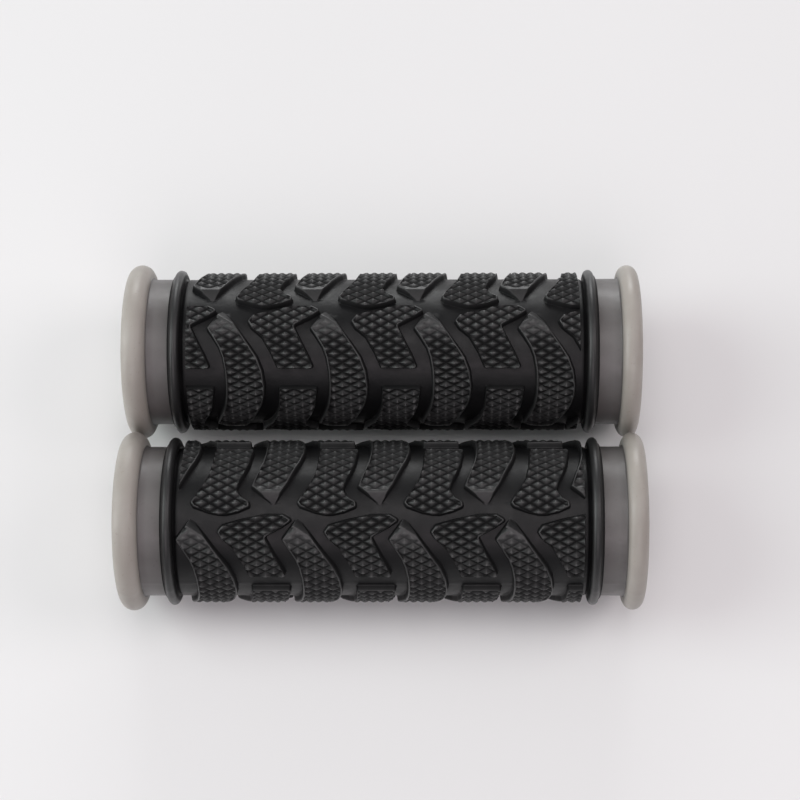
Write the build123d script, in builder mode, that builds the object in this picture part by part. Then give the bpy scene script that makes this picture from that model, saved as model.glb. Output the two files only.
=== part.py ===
from build123d import *
import os
from math import sin, cos, radians, ceil, floor

# A pair of short handlebar grips lying side by side. Each is a grey core, a tube with a flange
# at each end, with a black tread sleeve moulded round it. The two are the same moulding, turned
# differently about their axes. Millimetres. X runs along both grips, with the closed outer ends
# at -X and the open mouths at +X. The origin is on the surface that they lie on, midway between
# them.

# Whole grip
GRIP_LENGTH = 92.0
BAR_DIAMETER = 22.2
REST_GAP = 0.3                  # between the outer flanges of the two grips

# Core
END_WALL = 2.2                  # closes the outer end
MOUTH_CHAMFER = 0.6
OUTER_FLANGE_RADIUS = 15.85
OUTER_FLANGE_WIDTH = 4.2
INNER_FLANGE_RADIUS = 15.65
INNER_FLANGE_WIDTH = 3.45
OUTER_NECK_LENGTH = 3.85
INNER_NECK_LENGTH = 4.05
NECK_RADIUS = 13.2
BED_RADIUS = 12.1               # the core under the sleeve

# Sleeve
BEAD_WIDTH = 2.3
BEAD_RADIUS = 14.85
FLOOR_RADIUS = 13.15            # the floor of the tread's grooves
TREAD_RADIUS = 14.4
TREAD_INSET = 1.0               # from each bead to where the tread is cut off square
ROOT_DEPTH = 0.5                # how far the blocks reach below the grooves' floor

# Tread: three sectors round the sleeve, each between two zigzag grooves, with the same blocks in
# rows that repeat along the grip. Each sector is turned a third of the way round from the last
# and moved along by an amount of its own.
ROW_PITCH = 18.3
SECTORS = ((0.0, 0.0), (120.0, 4.3), (240.0, -6.5))
TREAD_ALONG = -27.85            # where the first sector has the left tip of an arrow block
PRISM_BASE = 9.0                # blocks are cut from prisms between these two distances
PRISM_TOP = 15.0

# The two straight-sided blocks. Each point is millimetres along the grip from the arrow block's
# left tip, and degrees round it from the zigzag groove that the arrow block stands at.
ARROW_MIDDLE = 24.0
ARROW_BLOCK = [
    (0.0, 13.0), (0.8, 8.5), (4.0, 4.6), (8.2, 0.8), (11.2, 0.8), (12.7, 4.5), (11.0, 9.5),
    (8.0, 16.5), (9.3, 28.0), (10.5, 38.0), (11.5, 48.0), (5.3, 48.0), (4.2, 37.0),
    (2.6, 25.0), (0.7, 18.0),
]
FOOT_MIDDLE = 92.0
FOOT_BLOCK = [
    (5.5, 63.5), (12.1, 63.5), (11.6, 80.0), (11.0, 88.0), (10.2, 95.0), (9.6, 103.0),
    (10.5, 108.5), (11.8, 111.5), (11.9, 115.0), (10.0, 118.5), (8.0, 120.5), (6.7, 120.5),
    (5.0, 119.0), (2.4, 115.0), (1.9, 112.0), (2.4, 108.5), (3.8, 100.0), (4.7, 92.0),
    (5.3, 80.0),
]

# The long curved block, in the same units. It reaches too far round for one prism, so it is made
# as an upper and a lower half that overlap a little.
LONG_UPPER_MIDDLE = 31.0
LONG_LOWER_MIDDLE = 85.5
LONG_UPPER_END = 58.6
LONG_LOWER_START = 57.4
LONG_TIP = (13.7, 7.5)
LONG_TOP_CORNER = (11.1, 18.5)
LONG_WAIST_RIGHT = 21.1
LONG_WAIST_LEFT = 14.4
LONG_UPPER_RIGHT = (17.9, 28.0)
LONG_UPPER_LEFT = (13.6, 38.0)
LONG_LOWER_RIGHT = (20.1, 83.0)
LONG_LOWER_LEFT = (14.1, 79.0)
LONG_BOTTOM_TIP = (16.7, 109.0)
LONG_BOTTOM_CORNER = (12.3, 100.0)

# A block that would keep less than this of its length between the tread's square ends is left out
LEAST_LENGTH = 1.5

# Placement of the two grips, and how far each is turned about its own axis, in degrees
AXIS_HEIGHT = OUTER_FLANGE_RADIUS
AXIS_OFFSET = OUTER_FLANGE_RADIUS + REST_GAP / 2
FRONT_TURN = 10.0
REAR_TURN = -136.0

OUTER_END = -GRIP_LENGTH / 2
MOUTH = GRIP_LENGTH / 2
BORE_RADIUS = BAR_DIAMETER / 2
SLEEVE_START = OUTER_END + OUTER_FLANGE_WIDTH + OUTER_NECK_LENGTH
SLEEVE_END = MOUTH - INNER_FLANGE_WIDTH - INNER_NECK_LENGTH
TREAD_START = SLEEVE_START + BEAD_WIDTH + TREAD_INSET
TREAD_END = SLEEVE_END - BEAD_WIDTH - TREAD_INSET


def section_plane(axis_y):
    """The upright plane through a grip's axis, with its X along the grip and its Y up."""
    return Plane(origin=(0, axis_y, AXIS_HEIGHT), x_dir=(1, 0, 0), z_dir=(0, -1, 0))


def grip_axis(axis_y):
    return Axis((0, axis_y, AXIS_HEIGHT), (1, 0, 0))


def prism_plane(axis_y, angle):
    """The plane that a block's prism starts from, facing outwards at an angle from the top."""
    outwards = Vector(0, -sin(radians(angle)), cos(radians(angle)))
    centre = Vector(0, axis_y, AXIS_HEIGHT)
    return Plane(origin=centre + outwards * PRISM_BASE, x_dir=(1, 0, 0), z_dir=outwards)


def seen_from(middle, along, point):
    """A point of the tread's surface, as it lies on the prism plane at the angle called middle."""
    return (along + point[0], -TREAD_RADIUS * sin(radians(point[1] - middle)))


def full_round(face_x, width, radius, inwards):
    """A flange's rim, a half circle from its outer face to its inner face."""
    half = width / 2
    start = (face_x, radius - half)
    top = (face_x + inwards * half, radius)
    end = (face_x + inwards * width, radius - half)
    ThreePointArc(start, top, end)
    return start, end


def build_core(axis_y):
    with BuildPart() as core:
        with BuildSketch(section_plane(axis_y)):
            with BuildLine():
                outer_face, outer_back = full_round(
                    OUTER_END, OUTER_FLANGE_WIDTH, OUTER_FLANGE_RADIUS, 1)
                mouth_face, mouth_back = full_round(
                    MOUTH, INNER_FLANGE_WIDTH, INNER_FLANGE_RADIUS, -1)
                Polyline(
                    outer_back,
                    (outer_back[0], NECK_RADIUS),
                    (SLEEVE_START, NECK_RADIUS),
                    (SLEEVE_START, BED_RADIUS),
                    (SLEEVE_END, BED_RADIUS),
                    (SLEEVE_END, NECK_RADIUS),
                    (mouth_back[0], NECK_RADIUS),
                    mouth_back)
                Polyline(
                    mouth_face,
                    (MOUTH, BORE_RADIUS + MOUTH_CHAMFER),
                    (MOUTH - MOUTH_CHAMFER, BORE_RADIUS),
                    (OUTER_END + END_WALL, BORE_RADIUS),
                    (OUTER_END + END_WALL, 0),
                    (OUTER_END, 0),
                    outer_face)
            make_face()
        revolve(axis=grip_axis(axis_y))
    return core.part


def row_starts(along, left, right):
    """Where the rows start whose blocks, from left to right of the start, are on the tread."""
    first = ceil((TREAD_START + LEAST_LENGTH - right - along) / ROW_PITCH)
    last = floor((TREAD_END - LEAST_LENGTH - left - along) / ROW_PITCH)
    return [along + row * ROW_PITCH for row in range(first, last + 1)]


def straight_blocks(axis_y, along, angle, middle, outline):
    """One sector's blocks of one straight-sided kind."""
    left = min(point[0] for point in outline)
    right = max(point[0] for point in outline)
    with BuildSketch(prism_plane(axis_y, angle + middle)) as blocks:
        for start in row_starts(along, left, right):
            Polygon(*[seen_from(middle, start, point) for point in outline], align=None)
    extrude(blocks.sketch, amount=PRISM_TOP - PRISM_BASE)


def long_block_halves(axis_y, along, angle):
    """One sector's long blocks, the upper halves and then the lower halves."""
    upper_right = (LONG_WAIST_RIGHT, LONG_UPPER_END)
    upper_left = (LONG_WAIST_LEFT, LONG_UPPER_END)
    upper = [LONG_TIP, LONG_UPPER_RIGHT, upper_right, upper_left, LONG_UPPER_LEFT,
             LONG_TOP_CORNER]
    lower_right = (LONG_WAIST_RIGHT, LONG_LOWER_START)
    lower_left = (LONG_WAIST_LEFT, LONG_LOWER_START)
    lower = [lower_right, LONG_LOWER_RIGHT, LONG_BOTTOM_TIP, LONG_BOTTOM_CORNER,
             LONG_LOWER_LEFT, lower_left]
    for middle, outline in ((LONG_UPPER_MIDDLE, upper), (LONG_LOWER_MIDDLE, lower)):
        with BuildSketch(prism_plane(axis_y, angle + middle)) as halves:
            for start in row_starts(along, LONG_TOP_CORNER[0], LONG_WAIST_RIGHT):
                points = [seen_from(middle, start, point) for point in outline]
                with BuildLine():
                    ThreePointArc(*points[0:3])
                    Line(points[2], points[3])
                    ThreePointArc(*points[3:6])
                    Line(points[5], points[0])
                make_face()
        extrude(halves.sketch, amount=PRISM_TOP - PRISM_BASE)


def build_tread(axis_y, turn):
    """All the blocks of one sleeve, cut to the tread's radius and to its square ends."""
    with BuildPart() as tread:
        for sector_angle, sector_shift in SECTORS:
            along = TREAD_ALONG + sector_shift
            angle = turn + sector_angle
            straight_blocks(axis_y, along, angle, ARROW_MIDDLE, ARROW_BLOCK)
            straight_blocks(axis_y, along, angle, FOOT_MIDDLE, FOOT_BLOCK)
            long_block_halves(axis_y, along, angle)
        with BuildSketch(section_plane(axis_y)):
            with Locations((TREAD_START, FLOOR_RADIUS - ROOT_DEPTH)):
                Rectangle(TREAD_END - TREAD_START, TREAD_RADIUS - FLOOR_RADIUS + ROOT_DEPTH,
                          align=(Align.MIN, Align.MIN))
        revolve(axis=grip_axis(axis_y), mode=Mode.INTERSECT)
    return tread.part


def build_sleeve(axis_y, turn):
    tread = build_tread(axis_y, turn)
    bead_shoulder = BEAD_RADIUS - BEAD_WIDTH / 2
    with BuildPart() as sleeve:
        with BuildSketch(section_plane(axis_y)):
            with BuildLine():
                first_face, first_back = full_round(SLEEVE_START, BEAD_WIDTH, BEAD_RADIUS, 1)
                last_face, last_back = full_round(SLEEVE_END, BEAD_WIDTH, BEAD_RADIUS, -1)
                Polyline(
                    first_back,
                    (first_back[0], FLOOR_RADIUS),
                    (last_back[0], FLOOR_RADIUS),
                    last_back)
                Polyline(
                    last_face,
                    (SLEEVE_END, BED_RADIUS),
                    (SLEEVE_START, BED_RADIUS),
                    first_face)
            make_face()
        revolve(axis=grip_axis(axis_y))
        add(tread)
    return sleeve.part


os.makedirs("parts", exist_ok=True)

front_core = build_core(-AXIS_OFFSET)
front_sleeve = build_sleeve(-AXIS_OFFSET, FRONT_TURN)
rear_core = build_core(AXIS_OFFSET)
rear_sleeve = build_sleeve(AXIS_OFFSET, REAR_TURN)

front_core.label = "front_core"
export_step(front_core, "parts/front_core.step")
front_sleeve.label = "front_tread_sleeve"
export_step(front_sleeve, "parts/front_tread_sleeve.step")
rear_core.label = "rear_core"
export_step(rear_core, "parts/rear_core.step")
rear_sleeve.label = "rear_tread_sleeve"
export_step(rear_sleeve, "parts/rear_tread_sleeve.step")
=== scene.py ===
import math

import bpy
import numpy as np
from mathutils import Matrix, Vector
from mathutils.geometry import delaunay_2d_cdt


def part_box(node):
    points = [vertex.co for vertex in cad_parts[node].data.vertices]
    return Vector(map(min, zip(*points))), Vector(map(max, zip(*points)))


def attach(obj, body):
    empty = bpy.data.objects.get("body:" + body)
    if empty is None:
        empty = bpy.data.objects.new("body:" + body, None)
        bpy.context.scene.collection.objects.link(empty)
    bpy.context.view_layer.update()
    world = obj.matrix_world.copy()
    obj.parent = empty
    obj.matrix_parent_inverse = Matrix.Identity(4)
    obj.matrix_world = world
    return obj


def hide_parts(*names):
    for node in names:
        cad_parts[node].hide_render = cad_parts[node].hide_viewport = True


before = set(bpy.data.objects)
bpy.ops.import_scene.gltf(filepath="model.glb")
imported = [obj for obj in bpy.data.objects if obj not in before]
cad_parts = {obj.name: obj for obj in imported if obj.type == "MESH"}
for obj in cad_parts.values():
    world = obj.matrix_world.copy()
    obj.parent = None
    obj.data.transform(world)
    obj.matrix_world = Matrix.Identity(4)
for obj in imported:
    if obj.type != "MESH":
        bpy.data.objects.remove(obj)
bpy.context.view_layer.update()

# Two short handlebar grips lying side by side. Each has a grey core with a flange at each end, and
# a black sleeve with blocks of knurled tread. Shapes are worked out in millimetres along a grip's
# own axis and about it, and turned into metres in the frame when a mesh is made.
MM = 0.001

# Whole grip
GRIP_LENGTH = 92.0
BORE_RADIUS = 11.1
END_WALL = 2.2

# Core
OUTER_FLANGE_RADIUS = 15.83
OUTER_FLANGE_WIDTH = 4.2
INNER_FLANGE_RADIUS = 15.65
INNER_FLANGE_WIDTH = 3.45
OUTER_NECK_LENGTH = 3.85
INNER_NECK_LENGTH = 4.05
NECK_RADIUS = 13.2
BED_RADIUS = 12.1

# Sleeve
BEAD_WIDTH = 2.3
FLOOR_RADIUS = 13.15
TREAD_RADIUS = 14.4
TREAD_INSET = 1.0

OUTER_END = -GRIP_LENGTH / 2
MOUTH = GRIP_LENGTH / 2
OUTER_BACK = OUTER_END + OUTER_FLANGE_WIDTH
INNER_BACK = MOUTH - INNER_FLANGE_WIDTH
SLEEVE_START = OUTER_BACK + OUTER_NECK_LENGTH
SLEEVE_END = INNER_BACK - INNER_NECK_LENGTH
BED_START = SLEEVE_START + BEAD_WIDTH
BED_END = SLEEVE_END - BEAD_WIDTH
TREAD_START = BED_START + TREAD_INSET
TREAD_END = BED_END - TREAD_INSET

# Tread pattern, laid out flat: millimetres along the grip and millimetres round it. Rows of blocks
# repeat along the grip, and each third of the way round they start somewhere else: a sector is the
# degrees round to it and how far its rows are moved along.
MM_PER_DEGREE = math.radians(TREAD_RADIUS)
ROUND = 360 * MM_PER_DEGREE
ROW_PITCH = 18.3
SECTORS = ((0.0, 0.0), (120.0, 4.3), (240.0, -6.5))
TREAD_ALONG = -27.85

# Outlines of the blocks' tops: millimetres along from the arrow block's left tip, and degrees
# round from the zigzag groove that the arrow block stands at
ARROW_BLOCK = [
    (0.0, 13.0), (0.8, 8.5), (4.0, 4.6), (8.2, 0.8), (11.2, 0.8), (12.7, 4.5), (11.0, 9.5),
    (8.0, 16.5), (9.3, 28.0), (10.5, 38.0), (11.5, 48.0), (5.3, 48.0), (4.2, 37.0),
    (2.6, 25.0), (0.7, 18.0),
]
FOOT_BLOCK = [
    (5.5, 63.5), (12.1, 63.5), (11.6, 80.0), (11.0, 88.0), (10.2, 95.0), (9.6, 103.0),
    (10.5, 108.5), (11.8, 111.5), (11.9, 115.0), (10.0, 118.5), (8.0, 120.5), (6.7, 120.5),
    (5.0, 119.0), (2.4, 115.0), (1.9, 112.0), (2.4, 108.5), (3.8, 100.0), (4.7, 92.0),
    (5.3, 80.0),
]
LONG_BLOCK = [
    (13.7, 3.5), (15.8, 15.0), (17.3, 24.0), (18.8, 33.0), (19.9, 40.0), (20.8, 50.0),
    (21.15, 62.0), (21.0, 70.0), (20.5, 78.0), (19.3, 89.0), (18.3, 98.0), (17.1, 106.0),
    (16.1, 113.0), (12.3, 100.0), (13.1, 90.0), (13.9, 80.0), (14.3, 70.0), (14.4, 60.0),
    (14.3, 50.0), (13.9, 40.0), (13.3, 33.0), (12.2, 25.5), (11.1, 18.5),
]

# A block's edge, as rings: how far each is outside the block's top outline, and how high it stands.
# Where the block has a rim, that rises from RIM_INNER to RIM_CREST and the knurl starts inside it.
# Elsewhere the knurl runs out to the first ring of the edge.
RIM_INNER = -0.3
RIM_CREST = -0.22
RIM_HEIGHT = 14.32
EDGE_RINGS = (
    (-0.1, RIM_HEIGHT), (-0.02, 14.23), (0.05, 14.0), (0.18, 13.27), (0.27, FLOOR_RADIUS),
)

# A rim only at a block's tips: how far it reaches from each, and how far it takes to run out
RIM_REACH = 1.7
RIM_RUNOUT = 0.7

# The long block's sloping noses: the crest above each, and the least level its looks go by
CREST_HEIGHT = 14.36
CREST_FLAT = 0.25
CREST_WIDTH = 0.5
# Slopes at this level stay out of the painted ground shade
RAMP_LEVEL = 14.15

# How outlines are rounded and divided
RING_SPACING = 0.55
CONVEX_CORNER = 0.4
CONCAVE_CORNER = 0.55
STRAIGHT_ENOUGH = math.radians(4)
CORNER_STEP = math.radians(22)
CORNER_SHARE = 0.45
LINE_REACH = 9.0

# The tread's square-cut ends: distance in from the end, and how high the tread may stand there
END_CUT = ((0.0, FLOOR_RADIUS), (0.1, 14.15), (0.22, 14.45))
UNCUT = (0.5, 99.0)

# A block stays whole if no more than this much of it crosses the tread's first end, and is left
# out if less than LEAST_LENGTH of it is inside either end
KEPT_WHOLE = 0.6
LEAST_LENGTH = 1.5

# A ring's section, as distance in from its outer face and radius: a low shoulder, then the bead.
# Its looks go by its radius, up to RING_LEVEL.
BEAD_PROFILE = (
    (0.03, 13.45), (0.08, 13.62), (0.17, 13.78), (0.3, 13.88), (0.38, 14.0), (0.45, 14.2),
    (0.54, 14.41), (0.68, 14.6), (0.86, 14.75), (1.08, 14.84), (1.33, 14.85), (1.57, 14.79),
    (1.79, 14.66), (1.95, 14.46), (2.06, 14.2), (2.14, 13.85), (2.2, 13.4),
)
# The ring's low shoulder takes the ground's painted shade, and its crest little of the painted
# highlight
RING_LEVEL = 14.27

# The recess in the ground beside each ring
CHANNEL_WIDTH = 0.6
CHANNEL_DEPTH = 0.35
CHANNEL_CUTS = (0.25, 0.5, 0.75, 1.0)

# Divisions round a sleeve and a core, and the ground's points between the blocks
SEGMENTS = 180
CORE_SEGMENTS = 240
GROUND_COLUMNS = 57
GROUND_GAP = 0.25

# The mould's parting line
FIN_HEIGHT = 0.06
FIN_HALF_WIDTH = ROUND / SEGMENTS

# Distances that count as the same place, lines that count as parallel, and the shortest share of a
# line that is kept. Points of a plan are told apart to a hundred-thousandth of a millimetre.
SAME_RADIUS = 0.01
SAME_PLACE = 1e-4
ON_THE_EDGE = 1e-9
PARALLEL = 1e-12
SHORTEST_SHARE = 1e-6
PLAN_STEPS = 1e5
PLAN_STEP = 1e-5

# Core's softer details. The bore's corner is how far off the end wall and in from the bore, and the
# dish's edge is a share of its depth and how far outside its radius. A division is an extra row of
# points on a part that is otherwise straight.
NECK_FILLET = 0.35
FILLET_STEPS = 5
NECK_DIVISION = 1.5
FLANGE_STEPS = 18
MOUTH_ROUND = 0.6
MOUTH_STEPS = 6
BORE_CORNER = ((0.4, 0.0), (0.1, 0.1), (0.0, 0.4))
END_WALL_DIVISION = 5.0
DISH_DEPTH = 0.3
DISH_RADIUS = 11.6
DISH_DIVISIONS = (4.0, 8.0)
DISH_EDGE = ((0.0, -0.5), (0.2, -0.25), (0.8, 0.05), (1.0, 0.3))
GATE_DEPTH = 0.25
GATE_RADIUS = 1.5
GATE_SLOPE = 0.15

# Painted shade by the neck's corners: how far from one it reaches, along the grip and up from the neck
CORNER_SHADE_REACH = 0.5
CORNER_SHADE_RISE = 0.3

# Faces that meet at more than this are shaded with a sharp edge
SHARP_ANGLE = math.radians(50)

# Knurl: rows of small pyramids, their corners touching. Levels are a distance from the peak, as a
# share of the way to the pyramid's outline, and the depth there.
KNURL_COLUMN = 1.455
KNURL_HALF_ROW = 3.4 * MM_PER_DEGREE
KNURL_PEAK = 14.42
KNURL_LEVELS = ((0.0, 0.0), (0.14, 0.03), (0.82, 0.5), (1.0, 0.66))
KNURL_PITS = 0.6

# The long block's knurl: degrees round between which it deepens and fades, and its depth before
# and after, as a share of the whole
KNURL_DEEPENS = (16, 32)
KNURL_FADES = (92, 104)
KNURL_AT_START = 0.4
KNURL_AT_END = 0.6


def corner_arc(before, corner, after, radius):
    """A rounded corner, as points from one side's tangent point to the other's."""
    into = (corner - before) / np.linalg.norm(corner - before)
    out = (after - corner) / np.linalg.norm(after - corner)
    turn = math.atan2(into[0] * out[1] - into[1] * out[0], float(into @ out))
    if abs(turn) < STRAIGHT_ENOUGH:
        return [corner]
    reach = radius * math.tan(abs(turn) / 2)
    limit = CORNER_SHARE * min(np.linalg.norm(corner - before), np.linalg.norm(after - corner))
    reach = min(reach, limit)
    start = corner - into * reach
    end = corner + out * reach
    count = max(2, int(math.ceil(abs(turn) / CORNER_STEP)))
    steps = np.linspace(0, 1, count + 1)
    return [(1 - t) ** 2 * start + 2 * t * (1 - t) * corner + t * t * end for t in steps]


def signed_area(points):
    """A closed outline's area, positive if it runs anticlockwise."""
    x, y = points[:, 0], points[:, 1]
    return 0.5 * float(np.sum(x * np.roll(y, -1) - np.roll(x, -1) * y))


def rounded_outline(outline):
    """A block's top outline in millimetres, anticlockwise, with its corners rounded."""
    points = np.array([(x, angle * MM_PER_DEGREE) for x, angle in outline])
    if signed_area(points) < 0:
        points = points[::-1]
    rounded = []
    for i in range(len(points)):
        before, corner, after = points[i - 1], points[i], points[(i + 1) % len(points)]
        side, turn = corner - before, after - corner
        convex = side[0] * turn[1] - side[1] * turn[0] > 0
        rounded += corner_arc(before, corner, after, CONVEX_CORNER if convex else CONCAVE_CORNER)
    rounded = np.array(rounded)
    dense = []
    for start, end in zip(rounded, np.roll(rounded, -1, axis=0)):
        count = max(1, int(math.ceil(np.linalg.norm(end - start) / RING_SPACING)))
        dense += [start + (end - start) * i / count for i in range(count)]
    return np.array(dense)


def offset_ring(ring, distance):
    """The ring moved outwards, or inwards where distance is negative."""
    before = ring - np.roll(ring, 1, axis=0)
    after = np.roll(ring, -1, axis=0) - ring
    normals = []
    for side in (before, after):
        unit = side / np.linalg.norm(side, axis=1, keepdims=True)
        normals.append(np.stack([unit[:, 1], -unit[:, 0]], axis=1))
    middle = normals[0] + normals[1]
    middle /= np.linalg.norm(middle, axis=1, keepdims=True)
    stretch = 1 / np.sum(middle * normals[0], axis=1, keepdims=True)
    return ring + middle * stretch * distance


def inside(points, ring):
    """Which points lie inside a closed ring."""
    x, y = points[:, 0:1], points[:, 1:2]
    ax, ay = ring[:, 0], ring[:, 1]
    bx, by = np.roll(ax, -1), np.roll(ay, -1)
    spans = (ay > y) != (by > y)
    with np.errstate(divide="ignore", invalid="ignore"):
        crossing = ax + (y - ay) * (bx - ax) / (by - ay)
    return (np.sum(spans & (x < crossing), axis=1) % 2) == 1


def outside_distance(points, ring):
    """Distance from a ring, negative for points inside it."""
    a = ring
    b = np.roll(ring, -1, axis=0)
    side = b - a
    rel = points[:, None, :] - a[None]
    t = np.clip(np.sum(rel * side[None], axis=2) / np.sum(side * side, axis=1)[None], 0, 1)
    gap = rel - t[..., None] * side[None]
    distance = np.sqrt(np.min(np.sum(gap * gap, axis=2), axis=1))
    return np.where(inside(points, ring), -distance, distance)


def parts_inside(start, end, ring):
    """The parts of a straight line that lie inside a ring."""
    a = ring
    side = np.roll(ring, -1, axis=0) - a
    line = end - start
    cross = line[0] * side[:, 1] - line[1] * side[:, 0]
    rel = a - start
    with np.errstate(divide="ignore", invalid="ignore"):
        t = (rel[:, 0] * side[:, 1] - rel[:, 1] * side[:, 0]) / cross
        u = (rel[:, 0] * line[1] - rel[:, 1] * line[0]) / cross
    hits = t[(np.abs(cross) > PARALLEL) & (u >= 0) & (u < 1) & (t > 0) & (t < 1)]
    cuts = [0.0] + sorted(hits.tolist()) + [1.0]
    pieces = []
    for low, high in zip(cuts[:-1], cuts[1:]):
        if high - low < SHORTEST_SHARE:
            continue
        middle = start + line * (low + high) / 2
        if inside(middle[None], ring)[0]:
            pieces.append((start + line * low, start + line * high))
    return pieces


def knurl_distance(points, phase):
    """0 at a pyramid's peak and 1 in the pits where the corners of four pyramids meet."""
    p = (points[:, 0] - phase[0]) / KNURL_COLUMN
    q = (points[:, 1] - phase[1]) / KNURL_HALF_ROW
    a, b = (p + q) / 2, (p - q) / 2
    a, b = np.abs(a - np.round(a)), np.abs(b - np.round(b))
    return 2 * ((1 - KNURL_PITS) * np.maximum(a, b) + KNURL_PITS * (a + b) / 2)


def knurl_lines(ring, phase):
    """The pyramids' contours, cut to a ring, and their peaks inside it."""
    low, high = ring.min(axis=0), ring.max(axis=0)
    first_p = math.floor((low[0] - phase[0]) / KNURL_COLUMN) - 1
    last_p = math.ceil((high[0] - phase[0]) / KNURL_COLUMN) + 1
    first_q = math.floor((low[1] - phase[1]) / KNURL_HALF_ROW) - 1
    last_q = math.ceil((high[1] - phase[1]) / KNURL_HALF_ROW) + 1
    diamond = ((KNURL_COLUMN, 0), (0, KNURL_HALF_ROW), (-KNURL_COLUMN, 0), (0, -KNURL_HALF_ROW))
    lines = []
    peaks = []
    for p in range(first_p, last_p + 1):
        for q in range(first_q, last_q + 1):
            if (p + q) % 2:
                continue
            centre = np.array([phase[0] + p * KNURL_COLUMN, phase[1] + q * KNURL_HALF_ROW])
            if inside(centre[None], ring)[0]:
                peaks.append(centre)
            for size, _ in KNURL_LEVELS[1:]:
                corners = [centre + size * np.array(corner) for corner in diamond]
                sides = 2 if size == 1.0 else 4
                for i in range(sides):
                    lines += parts_inside(corners[i], corners[(i + 1) % 4], ring)
    return lines, peaks


def ease(t):
    """A smooth step from 0 to 1."""
    t = np.clip(t, 0, 1)
    return t * t * (3 - 2 * t)


class Block:
    """One kind of tread block, as an outline, the lines on it, and how high it stands."""

    def __init__(self, outline, phase, rim_tips=None, fade=None, ramps=(), ridges=()):
        self.ring = rounded_outline(outline)
        self.phase = phase
        self.rim_tips = rim_tips
        self.fade = fade
        self.ramps = ramps
        reach = EDGE_RINGS[0][0] + (RIM_INNER - EDGE_RINGS[0][0]) * self.rim(self.ring)[:, None]
        inner = offset_ring(self.ring, reach)
        self.rings = [inner, offset_ring(self.ring, RIM_CREST)]
        self.rings += [offset_ring(self.ring, out) for out, _ in EDGE_RINGS]
        self.lines, self.peaks = knurl_lines(inner, self.phase)
        for origin, normal, _ in ramps:
            across = np.array([-normal[1], normal[0]])
            for back in (0.0, CREST_FLAT, CREST_WIDTH):
                middle = origin + normal * back
                start, end = middle - across * LINE_REACH, middle + across * LINE_REACH
                self.lines += parts_inside(start, end, self.ring)
        for start, end in ridges:
            self.lines += parts_inside(start, end, self.ring)
        outer = self.rings[-1]
        self.low, self.high = outer.min(axis=0), outer.max(axis=0)

    def rim(self, points):
        """How far the rim has risen: 1 near a tip, and 0 where the knurl runs out to the edge."""
        if self.rim_tips is None:
            return np.ones(len(points))
        gaps = [np.linalg.norm(points - tip, axis=1) for tip in self.rim_tips]
        return ease((RIM_REACH - np.min(gaps, axis=0)) / RIM_RUNOUT)

    def knurl_height(self, points):
        """How high the knurl stands at each point."""
        fade = self.fade(points[:, 1] / MM_PER_DEGREE) if self.fade else 1.0
        sizes, depths = np.array(KNURL_LEVELS).T
        depth = np.interp(knurl_distance(points, self.phase), sizes, depths)
        return KNURL_PEAK - depth * fade

    def top_height(self, points, out, edge):
        """How high the top stands, with its rim or with knurl that runs out to the edge."""
        knurl = self.knurl_height(points)
        rim_blend = np.clip((out - RIM_CREST) / (RIM_INNER - RIM_CREST), 0, 1)
        rimmed = np.where(out < RIM_CREST, edge + (knurl - edge) * rim_blend, edge)
        first, second = EDGE_RINGS[0][0], EDGE_RINGS[1][0]
        end_blend = np.clip((out - second) / (first - second), 0, 1)
        bare = edge + (np.minimum(knurl, edge) - edge) * end_blend
        bare = np.where(out < first, knurl, bare)
        return bare + (rimmed - bare) * self.rim(points)

    def height(self, points):
        """How high the block stands at each point, and the level that its looks go by."""
        out = outside_distance(points, self.ring)
        distances, heights = np.array(EDGE_RINGS).T
        edge = np.interp(out, distances, heights)
        result = self.top_height(points, out, edge)
        sloping = np.zeros(len(points), bool)
        for origin, normal, length in self.ramps:
            t = (points - origin) @ normal
            crest = np.clip((CREST_WIDTH - t) / (CREST_WIDTH - CREST_FLAT), 0, 1)
            result = result + (np.minimum(CREST_HEIGHT, edge) - result) * crest
            slope = FLOOR_RADIUS + (KNURL_PEAK - FLOOR_RADIUS) * np.clip(1 + t / length, 0, 1)
            sloping |= slope < result
            result = np.minimum(result, slope)
        return result, np.where(sloping, np.maximum(result, RAMP_LEVEL), result)


def mm(x, angle):
    """A point laid out flat in millimetres, from one given as an outline's are."""
    return np.array([x, angle * MM_PER_DEGREE])


def long_fade(angle):
    """How deep the knurl is on the long block, which starts and ends nearly smooth."""
    deepened = ease((angle - KNURL_DEEPENS[0]) / (KNURL_DEEPENS[1] - KNURL_DEEPENS[0]))
    faded = ease((angle - KNURL_FADES[0]) / (KNURL_FADES[1] - KNURL_FADES[0]))
    start = KNURL_AT_START + (1 - KNURL_AT_START) * deepened
    return start * (1 - (1 - KNURL_AT_END) * faded)


def make_blocks():
    """The three kinds of block. A ramp is a point on its crest, the way up, and its length."""
    apex, tip = mm(13.7, 10.7), mm(13.7, 3.6)
    ramps = (
        (apex, np.array([0.553, 0.833]), 1.50),
        (apex, np.array([-0.557, 0.831]), 1.38),
        (mm(15.0, 104.2), np.array([0.0, -1.0]), 2.24),
    )
    return [
        Block(ARROW_BLOCK, mm(-0.7, -0.35), (mm(0.3, 12.5), mm(12.0, 4.0), mm(8.3, 17.0))),
        Block(FOOT_BLOCK, mm(0.75, -3.3), (mm(2.3, 113.0), mm(11.5, 114.0))),
        Block(LONG_BLOCK, mm(2.1, 0.0), None, long_fade, ramps, ((apex, tip),)),
    ]


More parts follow.
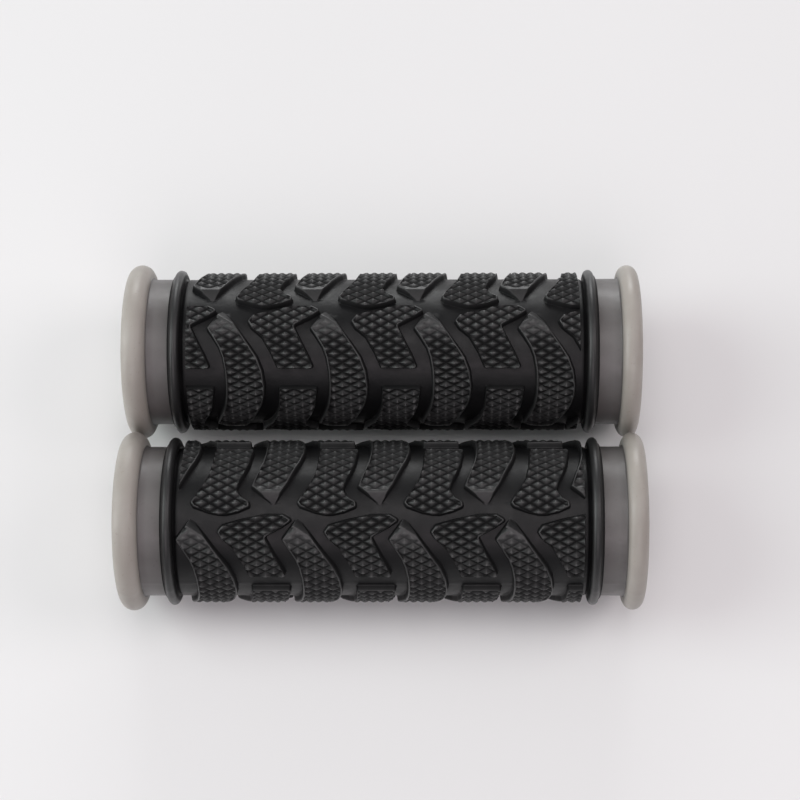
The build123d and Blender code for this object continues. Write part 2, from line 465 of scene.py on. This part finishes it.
class Plan:
    """Lines and points to be joined into triangles, cut to a rectangle."""

    def __init__(self, low, high):
        self.low, self.high = low, high
        self.points, self.edges, self.index = [], set(), {}

    def point(self, x, y):
        """The number of the point at a place, which is new unless one is there already."""
        key = (round(x * PLAN_STEPS), round(y * PLAN_STEPS))
        if key not in self.index:
            self.index[key] = len(self.points)
            self.points.append(Vector((x, y)))
        return self.index[key]

    def line(self, start, end, low=None, high=None):
        """Add the part of a straight line inside a rectangle, which is the plan's own unless given."""
        low = self.low if low is None else low
        high = self.high if high is None else high
        first, last = 0.0, 1.0
        for axis in (0, 1):
            step = end[axis] - start[axis]
            if abs(step) < PARALLEL:
                if not low[axis] - ON_THE_EDGE <= start[axis] <= high[axis] + ON_THE_EDGE:
                    return
                continue
            t = sorted(((low[axis] - start[axis]) / step, (high[axis] - start[axis]) / step))
            first, last = max(first, t[0]), min(last, t[1])
        if last - first < SHORTEST_SHARE:
            return
        a = self.point(*(start[i] + (end[i] - start[i]) * first for i in (0, 1)))
        b = self.point(*(start[i] + (end[i] - start[i]) * last for i in (0, 1)))
        if a != b:
            self.edges.add((min(a, b), max(a, b)))

    def triangles(self):
        """All the points, and the triangles that join them and keep to the lines."""
        result = delaunay_2d_cdt(self.points, list(self.edges), [], 0, PLAN_STEP, False)
        return np.array([tuple(v) for v in result[0]]), np.array([tuple(f) for f in result[2]])


def placed_blocks(blocks, turn, seam):
    """Every block that reaches the sleeve: its kind and where it is."""
    for sector_angle, sector_shift in SECTORS:
        along = TREAD_ALONG + sector_shift
        around = (turn + sector_angle) * MM_PER_DEGREE
        for block in blocks:
            left, right = block.ring[:, 0].min(), block.ring[:, 0].max()
            first = math.ceil((TREAD_START + LEAST_LENGTH - right - along) / ROW_PITCH)
            last = math.floor((TREAD_END - LEAST_LENGTH - left - along) / ROW_PITCH)
            for row in range(first, last + 1):
                for whole in (-1, 0, 1):
                    shift = np.array([along + row * ROW_PITCH, around + whole * ROUND])
                    if block.low[1] + shift[1] < seam + ROUND and block.high[1] + shift[1] > seam:
                        yield block, shift


def fin(around, seam):
    """The mould's parting line: a fine ridge at the seam and opposite it."""
    half = ROUND / 2
    off = np.abs((around - seam + half / 2) % half - half / 2)
    return FIN_HEIGHT * np.clip(1 - off / FIN_HALF_WIDTH, 0, 1)


def cut_square(along):
    """The highest that the tread may stand near its square-cut ends."""
    inwards = np.minimum(along - TREAD_START, TREAD_END - along)
    distances, heights = zip(*END_CUT, UNCUT)
    return np.interp(inwards, distances, heights)


def kept_whole(block, shift):
    """Whether only a corner of a block crosses the tread's first end, which leaves it uncut."""
    crosses = TREAD_START - (block.ring[:, 0].min() + shift[0])
    return 0 < crosses < KEPT_WHOLE


def channel_floor(along):
    """The ground between blocks, a little lower beside each ring."""
    gap = np.minimum(along - BED_START, BED_END - along)
    return FLOOR_RADIUS - CHANNEL_DEPTH * (1 - ease(gap / CHANNEL_WIDTH))


def draw_blocks(plan, placed, seam):
    """The blocks' rings, knurl and noses, cut to the tread."""
    high = (TREAD_END, seam + ROUND)
    for block, shift in placed:
        first = TREAD_START - KEPT_WHOLE if kept_whole(block, shift) else TREAD_START
        low = (first, seam)
        for ring in block.rings:
            moved = ring + shift
            for a, b in zip(moved, np.roll(moved, -1, axis=0)):
                plan.line(a, b, low, high)
        for a, b in block.lines:
            plan.line(a + shift, b + shift, low, high)
        for peak in block.peaks:
            x, y = peak + shift
            if first < x < TREAD_END and seam < y < seam + ROUND:
                plan.point(x, y)


def draw_cuts(plan, around):
    """Lines round the grip where the tread is cut square and where the ground dips."""
    channel = [share * CHANNEL_WIDTH for share in CHANNEL_CUTS]
    cuts = [BED_START, BED_END]
    cuts += [TREAD_START + inwards for inwards, _ in END_CUT]
    cuts += [TREAD_END - inwards for inwards, _ in END_CUT]
    cuts += [BED_START + inwards for inwards in channel]
    cuts += [BED_END - inwards for inwards in channel]
    for along in cuts:
        for a, b in zip(around[:-1], around[1:]):
            plan.line((along, a), (along, b))


def draw_partings(plan, stations, seam):
    """Lines along both parting lines, the first of which is at both edges of the plan."""
    for middle in (seam, seam + ROUND / 2, seam + ROUND):
        for side in (-FIN_HALF_WIDTH, 0.0, FIN_HALF_WIDTH):
            for a, b in zip(stations[:-1], stations[1:]):
                plan.line((a, middle + side), (b, middle + side))


def draw_ground(plan, placed, stations, around):
    """A grid of points on the ground, clear of the blocks."""
    ground = np.array([(x, y) for x in stations[1:-1] for y in around[1:-1]])
    clear = np.ones(len(ground), bool)
    for block, shift in placed:
        near = within(ground, block.low + shift - GROUND_GAP, block.high + shift + GROUND_GAP)
        rows = np.nonzero(near)[0]
        if len(rows):
            gap = outside_distance(ground[rows] - shift, block.ring)
            clear[rows[gap < EDGE_RINGS[-1][0] + GROUND_GAP]] = False
    for x, y in ground[clear]:
        plan.point(x, y)


def tread_heights(points, placed):
    """How high the tread stands at each point, and the level that its looks go by."""
    floor = channel_floor(points[:, 0])
    height, level = floor.copy(), floor.copy()
    for block, shift in placed:
        rows = np.nonzero(within(points, block.low + shift, block.high + shift))[0]
        if len(rows):
            standing, looks = block.height(points[rows] - shift)
            if not kept_whole(block, shift):
                standing = np.minimum(standing, cut_square(points[rows, 0]))
                looks = np.minimum(looks, cut_square(points[rows, 0]))
            over = standing > FLOOR_RADIUS
            height[rows] = np.maximum(height[rows], np.where(over, standing, 0))
            level[rows] = np.maximum(level[rows], np.where(over, looks, 0))
    return height, level


def tread_plan(blocks, turn, seam):
    """The tread laid out flat, as points, triangles, and the height and level at each point."""
    plan = Plan((BED_START, seam), (BED_END, seam + ROUND))
    placed = list(placed_blocks(blocks, turn, seam))
    around = seam + np.arange(SEGMENTS + 1) * ROUND / SEGMENTS
    stations = np.linspace(BED_START, BED_END, GROUND_COLUMNS)
    draw_blocks(plan, placed, seam)
    draw_cuts(plan, around)
    draw_partings(plan, stations, seam)
    draw_ground(plan, placed, stations, around)
    points, triangles = plan.triangles()
    height, level = tread_heights(points, placed)
    return points, triangles, height, level


def within(points, low, high):
    """Which points lie inside a rectangle."""
    return np.all((points > low) & (points < high), axis=1)


def joined_at_seam(points, triangles, seam):
    """Triangles that use the seam's first row of points wherever they used its last row."""
    first = np.nonzero(np.abs(points[:, 1] - seam) < SAME_PLACE)[0]
    last = np.nonzero(np.abs(points[:, 1] - seam - ROUND) < SAME_PLACE)[0]
    order = first[np.argsort(points[first, 0])]
    target = np.arange(len(points))
    for row in last:
        nearest = order[np.argmin(np.abs(points[order, 0] - points[row, 0]))]
        target[row] = nearest
    return target[triangles]


def rings_profile():
    """Both rings and the sleeve's inside, as distance along the grip and radius."""
    section = [(0.0, BED_RADIUS), (0.0, NECK_RADIUS)] + list(BEAD_PROFILE)
    first = [(SLEEVE_START + inwards, r) for inwards, r in reversed(section)]
    return first + [(SLEEVE_END - inwards, r) for inwards, r in section]


def new_object(name, vertices, faces, attributes):
    """A mesh object from points in metres, with a number at each point for its looks to use."""
    mesh = bpy.data.meshes.new(name)
    mesh.from_pydata([tuple(v) for v in vertices], [], [tuple(int(i) for i in f) for f in faces])
    mesh.validate()
    for key, values in attributes.items():
        layer = mesh.attributes.new(key, "FLOAT", "POINT")
        layer.data.foreach_set("value", np.asarray(values, dtype=np.float32))
    mesh.shade_smooth()
    mesh.set_sharp_from_angle(angle=SHARP_ANGLE)
    obj = bpy.data.objects.new(name, mesh)
    bpy.context.scene.collection.objects.link(obj)
    return obj


def round_the_axis(along, degrees, radius, axis):
    """Points in metres from distance along a grip, angle from its top and radius."""
    turn = np.radians(degrees)
    return MM * np.stack([
        np.broadcast_to(along, np.shape(radius)),
        axis[0] - radius * np.sin(turn),
        axis[1] + radius * np.cos(turn)], axis=-1)


def make_sleeve(name, axis, blocks, turn, seam_angle):
    """A sleeve: its tread, then both rings and its inside as rows of faces round the grip."""
    seam = seam_angle * MM_PER_DEGREE
    points, triangles, height, level = tread_plan(blocks, turn, seam)
    triangles = joined_at_seam(points, triangles, seam)[:, ::-1]
    faces = [tuple(t) for t in triangles]
    radius = height + fin(points[:, 1], seam)
    vertices = [round_the_axis(points[:, 0], points[:, 1] / MM_PER_DEGREE, radius, axis)]
    levels = [level]
    rows = [edge_row(points, BED_START)]
    count = len(points)

    angles = seam_angle + np.arange(SEGMENTS) * 360 / SEGMENTS
    fins = fin(angles * MM_PER_DEGREE, seam)
    for along, r in rings_profile():
        outside = r > BED_RADIUS + SAME_RADIUS
        vertices.append(round_the_axis(along, angles, r + fins * outside, axis))
        levels.append(np.full(SEGMENTS, min(r, RING_LEVEL)))
        rows.append(np.arange(count, count + SEGMENTS))
        count += SEGMENTS
    rows.append(edge_row(points, BED_END))
    for a, b in zip(rows[:-1], rows[1:]):
        faces += strip(a, b)
    vertices, faces, level = without_loose(np.concatenate(vertices), faces, np.concatenate(levels))
    return new_object(name, vertices, faces, {"level": level})


def strip(a, b):
    """Faces between two rows of points round the grip, either of which may be a single point."""
    next_a, next_b = np.roll(a, -1), np.roll(b, -1)
    if len(a) == 1:
        return [(a[0], p, q) for p, q in zip(b, next_b)]
    if len(b) == 1:
        return [(p, b[0], q) for p, q in zip(a, next_a)]
    return list(zip(a, b, next_b, next_a))


def edge_row(points, along):
    """The points on one end of the plan, in order round the grip."""
    rows = np.nonzero(np.abs(points[:, 0] - along) < SAME_PLACE)[0]
    rows = rows[np.argsort(points[rows, 1])]
    return rows[:-1]


def without_loose(vertices, faces, values):
    """The same mesh without points that no face uses, and their values."""
    used = np.zeros(len(vertices), bool)
    for face in faces:
        used[list(face)] = True
    new_index = np.cumsum(used) - 1
    faces = [tuple(new_index[i] for i in face) for face in faces]
    return vertices[used], faces, values[used]


def arc(centre, radius, first, last, steps):
    """Points on an arc, angles in degrees."""
    turns = np.radians(np.linspace(first, last, steps + 1))
    return [(centre[0] + radius * math.cos(t), centre[1] + radius * math.sin(t)) for t in turns]


def core_outside():
    """The core's outer section, from the middle of its closed end to its mouth."""
    dish = OUTER_END + DISH_DEPTH
    gate = dish + GATE_DEPTH
    outer_half, inner_half = OUTER_FLANGE_WIDTH / 2, INNER_FLANGE_WIDTH / 2
    fillet = NECK_RADIUS + NECK_FILLET
    section = [(gate, 0.0), (gate, GATE_RADIUS - GATE_SLOPE)]
    section += [(dish + GATE_DEPTH / 2, GATE_RADIUS), (dish, GATE_RADIUS + GATE_SLOPE)]
    section += [(dish, r) for r in DISH_DIVISIONS]
    section += [(dish - DISH_DEPTH * share, DISH_RADIUS + past) for share, past in DISH_EDGE]
    flange = (OUTER_END + outer_half, OUTER_FLANGE_RADIUS - outer_half)
    section += arc(flange, outer_half, 180, 0, FLANGE_STEPS)
    section += arc((OUTER_BACK + NECK_FILLET, fillet), NECK_FILLET, 180, 270, FILLET_STEPS)
    section += [(OUTER_BACK + NECK_DIVISION, NECK_RADIUS), (SLEEVE_START, NECK_RADIUS)]
    section += [(SLEEVE_START, BED_RADIUS), (SLEEVE_END, BED_RADIUS)]
    section += [(SLEEVE_END, NECK_RADIUS), (INNER_BACK - NECK_DIVISION, NECK_RADIUS)]
    section += arc((INNER_BACK - NECK_FILLET, fillet), NECK_FILLET, 270, 360, FILLET_STEPS)
    flange = (MOUTH - inner_half, INNER_FLANGE_RADIUS - inner_half)
    section += arc(flange, inner_half, 180, 0, FLANGE_STEPS)
    return section


def core_bore():
    """The bore's section, from its mouth to the middle of the end wall."""
    wall = OUTER_END + END_WALL
    section = arc((MOUTH - MOUTH_ROUND, BORE_RADIUS + MOUTH_ROUND), MOUTH_ROUND, 0, -90, MOUTH_STEPS)
    section += [(along, BORE_RADIUS) for along in (MOUTH / 2, 0.0, -MOUTH / 2)]
    section += [(wall + off, BORE_RADIUS - inwards) for off, inwards in BORE_CORNER]
    section += [(wall, END_WALL_DIVISION), (wall, 0.0)]
    return section


def on_flange(along):
    """Whether a point of the core's outer section belongs to a flange."""
    return along <= OUTER_BACK + SAME_PLACE or along >= INNER_BACK - SAME_PLACE


def corner_shade_at(along, r):
    """How much painted shade a point gets from a corner beside the neck: 1 in the corner, and falling
    away from it.
    """
    if r >= NECK_RADIUS + CORNER_SHADE_RISE:
        return 0.0
    corners = (OUTER_BACK, INNER_BACK, SLEEVE_START, SLEEVE_END)
    return math.exp(-min(abs(along - corner) for corner in corners) / CORNER_SHADE_REACH)


def make_core(name, axis, seam_angle):
    """A core: a row of points round the grip for each point of its section."""
    outside, bore = core_outside(), core_bore()
    angles = seam_angle + np.arange(CORE_SEGMENTS) * 360 / CORE_SEGMENTS
    fins = fin(angles * MM_PER_DEGREE, seam_angle * MM_PER_DEGREE)
    vertices, rows, flange, corner_shade = [], [], [], []
    count = 0
    for i, (along, r) in enumerate(outside + bore):
        is_outside = i < len(outside)
        size = 1 if r == 0.0 else CORE_SEGMENTS
        radius = np.full(size, r)
        if is_outside and r > BED_RADIUS + SAME_RADIUS:
            radius = radius + fins
        vertices.append(round_the_axis(along, angles[:size], radius, axis))
        rows.append(np.arange(count, count + size))
        flange.append(np.full(size, float(is_outside and on_flange(along))))
        # Painted shade near the corners beside the neck
        corner_shade.append(np.full(size, corner_shade_at(along, r)))
        count += size
    faces = []
    for a, b in zip(rows[:-1], rows[1:]):
        faces += strip(a, b)
    attributes = {"flange": np.concatenate(flange), "corner_shade": np.concatenate(corner_shade)}
    return new_object(name, np.concatenate(vertices), faces, attributes)


# Colours
NECK_GREY = (0.150, 0.143, 0.141)
FLANGE_GREY = (0.36, 0.335, 0.305)
CLOUD_TINT = (0.9, 0.89, 0.885)
SPECK_TINT = (0.72, 0.70, 0.68)
# Painted shade for the corners beside the neck
CORNER_SHADE_TINT = (0.5, 0.48, 0.46)
# Painted shade: the sleeve's ground is darker than the parts that stand out of it
GROUND_SHADE_BLACK = (0.0042, 0.0044, 0.0048)
CLOUDED_BLACK = (0.0070, 0.0070, 0.0074)
UNSHADED_BLACK = (0.019, 0.019, 0.0192)
# Grey on the tops, partly wear and partly a painted highlight
WORN_AND_HIGHLIGHT_BLACK = (0.056, 0.056, 0.0555)
FLOOR_WHITE = (0.80, 0.80, 0.80)
FLOOR_CLOUD = (0.82, 0.82, 0.82)

# Levels on a sleeve between which its looks change: out of the ground, up a block's side, and
# near the top
OFF_THE_GROUND = (13.2, 13.4)
# The painted shade lifts between these levels
SHADE_LIFTS_UP_THE_SIDE = (13.5, 13.9)
DULL_TO_THE_TOP = (13.9, 14.34)
GLOSS_TO_THE_TOP = (13.85, 14.34)
# Wear and the painted highlight come in between these levels
WEAR_AND_HIGHLIGHT_TOP = (14.24, 14.42)

# Where most of a noise texture's values lie, and a factor's whole range
NOISE_RANGE = (0.3, 0.7)
WHOLE = (0.0, 1.0)

# A mix node's sockets for colours
COLOUR_A = 6
COLOUR_B = 7
COLOUR_RESULT = 2


def shader(name):
    """A new material with its nodes, links and the principled shader."""
    material = bpy.data.materials.new(name)
    material.use_nodes = True
    nodes, links = material.node_tree.nodes, material.node_tree.links
    return material, nodes, links, nodes["Principled BSDF"]


def noise(nodes, links, scale, detail, roughness=0.5):
    """Noise that stays with the object."""
    coords = nodes.new("ShaderNodeTexCoord")
    texture = nodes.new("ShaderNodeTexNoise")
    texture.inputs["Scale"].default_value = scale
    texture.inputs["Detail"].default_value = detail
    texture.inputs["Roughness"].default_value = roughness
    links.new(coords.outputs["Object"], texture.inputs["Vector"])
    return texture.outputs["Fac"]


def remap(nodes, links, value, source, target, smooth=False):
    """A value moved from one range to another, and held at its ends."""
    node = nodes.new("ShaderNodeMapRange")
    node.interpolation_type = "SMOOTHSTEP" if smooth else "LINEAR"
    links.new(value, node.inputs["Value"])
    for key, number in zip(("From Min", "From Max", "To Min", "To Max"), (*source, *target)):
        node.inputs[key].default_value = number
    return node.outputs["Result"]


def patches(nodes, links, scale, detail, target, smooth=False):
    """Soft patches of noise, spread over a range."""
    return remap(nodes, links, noise(nodes, links, scale, detail), NOISE_RANGE, target, smooth)


def attribute(nodes, name):
    """A number that the mesh holds at each point."""
    node = nodes.new("ShaderNodeAttribute")
    node.attribute_name = name
    return node.outputs["Fac"]


def maths(nodes, links, operation, a, b):
    """Two values put together; each is a number or another node's output."""
    node = nodes.new("ShaderNodeMath")
    node.operation = operation
    for socket, value in zip(node.inputs, (a, b)):
        if isinstance(value, (int, float)):
            socket.default_value = value
        else:
            links.new(value, socket)
    return node.outputs["Value"]


def mixed(nodes, links, factor, a, b, blend="MIX"):
    """Two colours mixed; each is a colour or another node's output."""
    node = nodes.new("ShaderNodeMix")
    node.data_type = "RGBA"
    node.blend_type = blend
    if isinstance(factor, (int, float)):
        node.inputs["Factor"].default_value = factor
    else:
        links.new(factor, node.inputs["Factor"])
    for socket, value in ((node.inputs[COLOUR_A], a), (node.inputs[COLOUR_B], b)):
        if isinstance(value, tuple):
            socket.default_value = (*value, 1.0)
        else:
            links.new(value, socket)
    return node.outputs[COLOUR_RESULT]


def tinted(nodes, links, factor, base, tint):
    """A colour, multiplied by a tint where the factor is high."""
    return mixed(nodes, links, factor, base, mixed(nodes, links, 1.0, base, tint, "MULTIPLY"))


def bumped(nodes, links, height, distance, strength, below=None):
    """A bump from a height, on top of another bump if there is one."""
    node = nodes.new("ShaderNodeBump")
    node.inputs["Distance"].default_value = distance
    node.inputs["Strength"].default_value = strength
    links.new(height, node.inputs["Height"])
    if below is not None:
        links.new(below, node.inputs["Normal"])
    return node.outputs["Normal"]


def grey_rubber():
    """Grey rubber, lighter on the flanges, with faint clouds and specks and painted shade by the
    neck's corners.
    """
    material, nodes, links, principled = shader("grey_rubber_moulded")
    flange = attribute(nodes, "flange")
    base = mixed(nodes, links, flange, NECK_GREY, FLANGE_GREY)
    cloud = patches(nodes, links, 150, 3, WHOLE, True)
    base = tinted(nodes, links, cloud, base, CLOUD_TINT)
    speck = remap(nodes, links, noise(nodes, links, 1300, 2, 0.7), (0.62, 0.74), (0.0, 0.35), True)
    base = tinted(nodes, links, speck, base, SPECK_TINT)
    # Painted shade: darker in the corners beside the neck
    corner_shade = maths(nodes, links, "MULTIPLY", attribute(nodes, "corner_shade"), 0.5)
    base = tinted(nodes, links, corner_shade, base, CORNER_SHADE_TINT)
    links.new(base, principled.inputs["Base Color"])
    rough = patches(nodes, links, 420, 3, (0.36, 0.5))
    links.new(rough, principled.inputs["Roughness"])
    fine = bumped(nodes, links, noise(nodes, links, 2600, 3, 0.6), 0.00003, 0.35)
    wide = bumped(nodes, links, noise(nodes, links, 320, 2), 0.00012, 0.3, fine)
    links.new(wide, principled.inputs["Normal"])
    principled.inputs["Subsurface Weight"].default_value = 0.12
    principled.inputs["Subsurface Radius"].default_value = (1.0, 0.8, 0.65)
    principled.inputs["Subsurface Scale"].default_value = 0.0012
    return material


def black_colour(nodes, links, level):
    """Painted shade: nearly black in the ground, lighter on the blocks' sides; tops worn grey, with a
    painted highlight.
    """
    cloud = patches(nodes, links, 120, 3, WHOLE, True)
    base = mixed(nodes, links, cloud, GROUND_SHADE_BLACK, CLOUDED_BLACK)
    # Painted shade: lighter up the blocks' sides, so the ground and the knurl's pits stay darkest
    shade_lifted = remap(nodes, links, level, SHADE_LIFTS_UP_THE_SIDE, (0.0, 0.4), True)
    base = mixed(nodes, links, shade_lifted, base, UNSHADED_BLACK)
    # Partly wear and partly a painted highlight: lighter towards the tops, in uneven patches
    wear_and_highlight = remap(nodes, links, level, WEAR_AND_HIGHLIGHT_TOP, WHOLE, True)
    uneven_patches = remap(nodes, links, noise(nodes, links, 600, 3, 0.6), (0.35, 0.7), (0.45, 1.0))
    wear_and_highlight = maths(nodes, links, "MULTIPLY", wear_and_highlight, uneven_patches)
    return mixed(nodes, links, wear_and_highlight, base, WORN_AND_HIGHLIGHT_BLACK)


def black_roughness(nodes, links, level):
    """Uneven, and rougher on the blocks' sides."""
    rough = patches(nodes, links, 500, 3, (0.36, 0.52))
    rising = remap(nodes, links, level, OFF_THE_GROUND, (0.0, 0.15), True)
    falling = remap(nodes, links, level, DULL_TO_THE_TOP, (0.15, 0.0), True)
    dull = maths(nodes, links, "MINIMUM", rising, falling)
    return maths(nodes, links, "ADD", rough, dull)


def black_gloss(nodes, links, level):
    """A sheen on the tops, a little in the ground, and none on the blocks' sides."""
    falling = remap(nodes, links, level, OFF_THE_GROUND, (0.14, 0.0), True)
    rising = remap(nodes, links, level, GLOSS_TO_THE_TOP, (0.0, 0.7), True)
    return maths(nodes, links, "MAXIMUM", falling, rising)


def black_rubber():
    """Black rubber, whose looks go by the level at each point of the sleeve."""
    material, nodes, links, principled = shader("black_rubber_moulded")
    level = attribute(nodes, "level")
    links.new(black_colour(nodes, links, level), principled.inputs["Base Color"])
    links.new(black_roughness(nodes, links, level), principled.inputs["Roughness"])
    links.new(black_gloss(nodes, links, level), principled.inputs["Coat Weight"])
    principled.inputs["Coat Roughness"].default_value = 0.42
    principled.inputs["Specular IOR Level"].default_value = 0.2
    fine = bumped(nodes, links, noise(nodes, links, 3800, 3, 0.65), 0.00003, 0.5)
    wide = bumped(nodes, links, noise(nodes, links, 700, 2), 0.00008, 0.35, fine)
    links.new(wide, principled.inputs["Normal"])
    links.new(wide, principled.inputs["Coat Normal"])
    return material


def floor_material():
    """Matt white paper."""
    material, nodes, links, principled = shader("floor_paper")
    cloud = patches(nodes, links, 6, 2, WHOLE, True)
    base = mixed(nodes, links, cloud, FLOOR_WHITE, FLOOR_CLOUD)
    links.new(base, principled.inputs["Base Color"])
    principled.inputs["Roughness"].default_value = 0.75
    principled.inputs["Specular IOR Level"].default_value = 0.2
    return material


# Placement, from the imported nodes
def axis_of(node):
    """Where a grip's axis is, across and up, in millimetres."""
    low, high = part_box(node)
    return ((low[1] + high[1]) / 2 / MM, (low[2] + high[2]) / 2 / MM)


# Each grip and how far it is turned about its axis, and the parting line's place from there
GRIPS = (("front", 10.0), ("rear", -136.0))
SEAM_FROM_TURN = 60.0

blocks = make_blocks()
grey = grey_rubber()
black = black_rubber()
for side, turn in GRIPS:
    seam_angle = turn + SEAM_FROM_TURN
    body = side + "_grip"
    core_node, sleeve_node = side + "_core", side + "_tread_sleeve"
    axis = axis_of(core_node)
    core = make_core(side + "_grey_core", axis, seam_angle)
    sleeve = make_sleeve(side + "_black_sleeve", axis, blocks, turn, seam_angle)
    pieces = (
        (core, core_node, grey, "grey_rubber"),
        (sleeve, sleeve_node, black, "black_rubber"),
    )
    for piece, node, material, slot in pieces:
        piece.data.materials.append(material)
        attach(piece, body)
        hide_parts(node)

# Stage
FLOOR_REACH = 3.0
FLOOR_CORNERS = ((-1, -1), (1, -1), (1, 1), (-1, 1))
WORLD_COLOUR = (0.95, 0.955, 1.0, 1.0)
WORLD_STRENGTH = 0.24

# Round lights, all aimed at one place: name, place, size, power and colour
LIGHT_AIM = (0, 0, 0.01)
LIGHTS = (
    ("over_light", (0, 0, 0.9), 0.5, 1.75, (1.0, 0.94, 0.95)),
    ("left_light", (-0.6, 0.05, 0.6), 0.5, 2.1, (0.9, 1.0, 0.965)),
    ("right_light", (0.6, 0.05, 0.6), 0.5, 1.68, (1.0, 0.92, 0.925)),
    ("front_light", (0, -0.55, 0.65), 0.5, 1.4, (1.0, 0.88, 0.93)),
    ("back_wall", (0, 1.0, 0.22), 0.6, 4.6, (0.993, 1.0, 1.0)),
    ("left_wall", (-1.0, 0, 0.22), 0.6, 4.1, (1.0, 1.0, 1.0)),
)

# Camera: where it looks and how far off it is in millimetres, from which way, how it is turned, and
# its lens
CAMERA_AIM = (3.122, 6.727, 15.7)
CAMERA_DISTANCE = 370.066
CAMERA_ELEVATION = math.radians(71.408)
CAMERA_YAW = math.radians(2.884)
CAMERA_ROLL = math.radians(-2.804)
CAMERA_LENS = 91.82619
CAMERA_SENSOR = 36
CAMERA_CLIP = 0.01


def make_floor():
    """A flat sheet of paper under both grips."""
    mesh = bpy.data.meshes.new("floor")
    corners = [(x * FLOOR_REACH, y * FLOOR_REACH, 0) for x, y in FLOOR_CORNERS]
    mesh.from_pydata(corners, [], [(0, 1, 2, 3)])
    floor = bpy.data.objects.new("floor", mesh)
    bpy.context.scene.collection.objects.link(floor)
    floor.data.materials.append(floor_material())
    return floor


def make_world():
    """An even, faint light from everywhere."""
    world = bpy.data.worlds.new("studio")
    bpy.context.scene.world = world
    world.use_nodes = True
    background = world.node_tree.nodes["Background"]
    background.inputs["Color"].default_value = WORLD_COLOUR
    background.inputs["Strength"].default_value = WORLD_STRENGTH


def area_light(name, place, size, power, colour):
    """A round light aimed at the grips."""
    data = bpy.data.lights.new(name, "AREA")
    data.shape = "DISK"
    data.size = size
    data.energy = power
    data.color = colour
    light = bpy.data.objects.new(name, data)
    bpy.context.scene.collection.objects.link(light)
    light.location = place
    light.rotation_euler = (Vector(LIGHT_AIM) - Vector(place)).to_track_quat("-Z", "Y").to_euler()


def camera_matrix():
    """Where the camera stands and how it is turned."""
    flat = math.cos(CAMERA_ELEVATION)
    across, back = flat * math.sin(CAMERA_YAW), -flat * math.cos(CAMERA_YAW)
    towards = Vector((across, back, math.sin(CAMERA_ELEVATION)))
    level_right = (-towards).cross(Vector((0, 0, 1))).normalized()
    level_up = level_right.cross(-towards)
    right = math.cos(CAMERA_ROLL) * level_right + math.sin(CAMERA_ROLL) * level_up
    up = -math.sin(CAMERA_ROLL) * level_right + math.cos(CAMERA_ROLL) * level_up
    place = Vector(CAMERA_AIM) * MM + towards * CAMERA_DISTANCE * MM
    rows = [(right[i], up[i], towards[i], place[i]) for i in range(3)]
    return Matrix((*rows, (0, 0, 0, 1)))


def make_camera():
    """The scene's camera."""
    data = bpy.data.cameras.new("camera")
    data.lens = CAMERA_LENS
    data.sensor_width = CAMERA_SENSOR
    data.clip_start = CAMERA_CLIP
    camera = bpy.data.objects.new("camera", data)
    bpy.context.scene.collection.objects.link(camera)
    camera.matrix_world = camera_matrix()
    bpy.context.scene.camera = camera


floor = make_floor()
make_world()
for light in LIGHTS:
    area_light(*light)
make_camera()
bpy.context.scene.view_settings.view_transform = "Standard"
